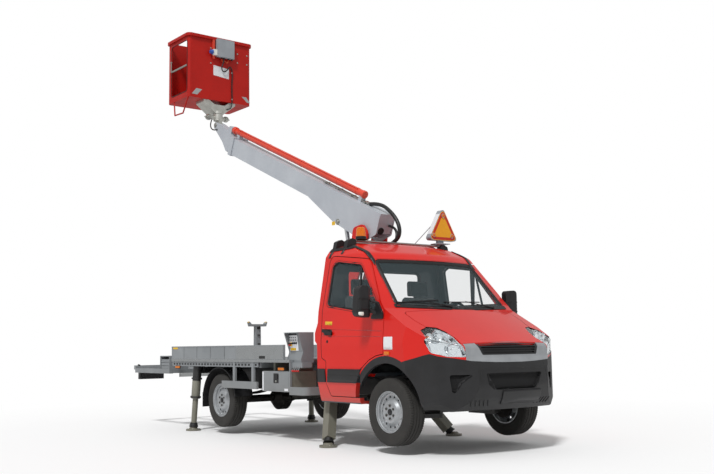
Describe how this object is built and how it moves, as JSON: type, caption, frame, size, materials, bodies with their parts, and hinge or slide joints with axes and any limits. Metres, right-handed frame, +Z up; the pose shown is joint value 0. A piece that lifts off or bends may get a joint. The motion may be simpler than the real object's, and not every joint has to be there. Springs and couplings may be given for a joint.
{
  "type": "cherry picker truck",
  "caption": "Light chassis-cab truck on outrigger legs with a slewing telescopic boom, levelled work basket, short load bed and opening cab doors.",
  "frame": {"origin": "on the ground under the middle of the truck, as it stands on its four pads", "axes": "+X forward, +Y to the driver's left, +Z up"},
  "size_m": [6.9112, 2.428, 5.95],
  "materials": {
    "frame_steel": "satin",
    "cast_iron": "rough",
    "engine_iron": "rough",
    "driveline_steel": "satin",
    "red_paint": "gloss",
    "black_plastic": "grained",
    "glass": "clear",
    "lens": "clear",
    "amber": "clear",
    "sign_paint": "gloss",
    "rack_steel": "satin",
    "trim_plastic": "grained",
    "seat_cloth": "woven",
    "tyre": "matt",
    "wheel_silver": "satin",
    "grey_paint": "satin",
    "boom_paint": "satin",
    "galvanised": "satin",
    "cylinder_red": "gloss",
    "chrome_rod": "polished",
    "alloy": "cast",
    "basket_red": "gloss",
    "box_grey": "satin",
    "silver_plastic": "satin",
    "reflector": "polished",
    "cable_sheath": "matt"
  },
  "bodies": {
    "chassis": {"chassis_frame": "frame_steel", "rear_axle": "cast_iron", "engine_block": "engine_iron", "driveline": "driveline_steel", "front_panels": "red_paint", "grille": "black_plastic", "bumper": "black_plastic", "cab_shell": "red_paint", "cab_glass": "glass", "dashboard": "trim_plastic", "seats": "seat_cloth", "roof_rack": "rack_steel", "beacon": "amber", "warning_sign": "sign_paint", "subframe": "frame_steel", "controls": "grey_paint", "locker_box": "galvanised", "mudguards": "black_plastic", "bed": "grey_paint", "tail_frame": "grey_paint", "lamps": "lens", "grille_surround": "silver_plastic", "headlamp_bowls": "reflector", "rack_feet": "black_plastic"},
    "knuckle_left": {"knuckle_left": "cast_iron"},
    "knuckle_right": {"knuckle_right": "cast_iron"},
    "bonnet": {"bonnet": "red_paint"},
    "door_left": {"door_left": "red_paint", "door_glass_left": "glass", "mirror_left": "black_plastic"},
    "door_right": {"door_right": "red_paint", "door_glass_right": "glass", "mirror_right": "black_plastic"},
    "steering_wheel": {"steering_wheel": "trim_plastic"},
    "locker_door": {"locker_door": "grey_paint"},
    "leg_front_left": {"leg_front_left": "galvanised"},
    "leg_front_right": {"leg_front_right": "galvanised"},
    "leg_rear_left": {"leg_rear_left": "galvanised"},
    "leg_rear_right": {"leg_rear_right": "galvanised"},
    "turret": {"turret": "red_paint"},
    "boom_outer": {"outer_boom": "boom_paint", "top_cylinder": "cylinder_red"},
    "boom_inner": {"inner_boom": "boom_paint"},
    "luff_barrel": {"luff_barrel": "boom_paint"},
    "luff_rod": {"luff_rod": "chrome_rod"},
    "level_knuckle": {"level_knuckle": "alloy"},
    "basket": {"basket_yoke": "alloy", "basket": "basket_red", "basket_box": "box_grey", "basket_cable": "cable_sheath"},
    "wheel_front_left": {"wheel_front_left_rim": "wheel_silver", "wheel_front_left_tyre": "tyre"},
    "wheel_front_right": {"wheel_front_right_rim": "wheel_silver", "wheel_front_right_tyre": "tyre"},
    "wheel_rear_left": {"wheel_rear_left_rim": "wheel_silver", "wheel_rear_left_tyre": "tyre"},
    "wheel_rear_right": {"wheel_rear_right_rim": "wheel_silver", "wheel_rear_right_tyre": "tyre"}
  },
  "joints": [
    {"name": "steer_left", "type": "hinge", "parent": "chassis", "child": "knuckle_left", "pos_m": [2.52, 0.77, 0.43], "axis": [0, 0, 1], "range_deg": [-35, 35]},
    {"name": "steer_right", "type": "hinge", "parent": "chassis", "child": "knuckle_right", "pos_m": [2.52, -0.77, 0.43], "axis": [0, 0, 1], "range_deg": [-35, 35]},
    {"name": "steering_wheel_turn", "type": "hinge", "parent": "chassis", "child": "steering_wheel", "pos_m": [2.015, 0.43, 1.42], "axis": [-0.8192, 0, 0.5736], "range_deg": [-495, 495]},
    {"name": "spin_front_left", "type": "hinge", "parent": "knuckle_left", "child": "wheel_front_left", "pos_m": [2.52, 0.847, 0.43], "axis": [0, 1, 0], "continuous": true},
    {"name": "spin_front_right", "type": "hinge", "parent": "knuckle_right", "child": "wheel_front_right", "pos_m": [2.52, -0.847, 0.43], "axis": [0, 1, 0], "continuous": true},
    {"name": "spin_rear_left", "type": "hinge", "parent": "chassis", "child": "wheel_rear_left", "pos_m": [-0.93, 0.847, 0.43], "axis": [0, 1, 0], "continuous": true},
    {"name": "spin_rear_right", "type": "hinge", "parent": "chassis", "child": "wheel_rear_right", "pos_m": [-0.93, -0.847, 0.43], "axis": [0, 1, 0], "continuous": true},
    {"name": "door_left_open", "type": "hinge", "parent": "chassis", "child": "door_left", "pos_m": [2.492, 0.993, 1.2], "axis": [0, 0, -1], "range_deg": [0, 68]},
    {"name": "door_right_open", "type": "hinge", "parent": "chassis", "child": "door_right", "pos_m": [2.492, -0.993, 1.2], "axis": [0, 0, 1], "range_deg": [0, 68]},
    {"name": "bonnet_open", "type": "hinge", "parent": "chassis", "child": "bonnet", "pos_m": [2.638, 0, 1.512], "axis": [0, -1, 0], "range_deg": [0, 50]},
    {"name": "locker_open", "type": "hinge", "parent": "chassis", "child": "locker_door", "pos_m": [0.505, -1.025, 0.585], "axis": [1, 0, 0], "range_deg": [0, 95]},
    {"name": "leg_front_left", "type": "slide", "parent": "chassis", "child": "leg_front_left", "axis": [0.4798, 0.4229, -0.7687], "range_m": [-0.4, 0]},
    {"name": "leg_front_right", "type": "slide", "parent": "chassis", "child": "leg_front_right", "axis": [0.4798, -0.4229, -0.7687], "range_m": [-0.4, 0]},
    {"name": "leg_rear_left", "type": "slide", "parent": "chassis", "child": "leg_rear_left", "axis": [-0.0549, 0.0399, -0.9977], "range_m": [-0.3, 0]},
    {"name": "leg_rear_right", "type": "slide", "parent": "chassis", "child": "leg_rear_right", "axis": [-0.0549, -0.0399, -0.9977], "range_m": [-0.3, 0]},
    {"name": "slew", "type": "hinge", "parent": "chassis", "child": "turret", "pos_m": [0.77, 0, 1.16], "axis": [0, 0, 1], "range_deg": [0, 350]},
    {"name": "luff", "type": "hinge", "parent": "turret", "child": "boom_outer", "pos_m": [1.07, 0, 2.47], "axis": [0, 1, 0], "range_deg": [-47, 45]},
    {"name": "telescope", "type": "slide", "parent": "boom_outer", "child": "boom_inner", "axis": [-0.9128, 0, 0.4083], "range_m": [0, 2]},
    {"name": "luff_barrel_swing", "type": "hinge", "parent": "turret", "child": "luff_barrel", "pos_m": [0.9, 0, 1.22], "axis": [0, 1, 0], "range_deg": [-10, 10]},
    {"name": "luff_rod_slide", "type": "slide", "parent": "luff_barrel", "child": "luff_rod", "axis": [-0.2203, 0, 0.9754], "range_m": [-0.4, 0.37]},
    {"name": "basket_level", "type": "hinge", "parent": "boom_inner", "child": "level_knuckle", "pos_m": [-2.66949, 0, 4.56014], "axis": [0, 1, 0], "range_deg": [-46, 50]},
    {"name": "basket_turn", "type": "hinge", "parent": "level_knuckle", "child": "basket", "pos_m": [-2.7, 0, 4.69014], "axis": [0, 0, 1], "range_deg": [-45, 45]}
  ],
  "couplings": [
    {"joint": "steer_right", "follows": "steer_left", "ratio": 1},
    {"joint": "steering_wheel_turn", "follows": "steer_left", "ratio": 14},
    {"joint": "luff_barrel_swing", "follows": "luff", "ratio": 0.19},
    {"joint": "luff_rod_slide", "follows": "luff", "m_per_rad": 0.46},
    {"joint": "basket_level", "follows": "luff", "ratio": -1}
  ]
}
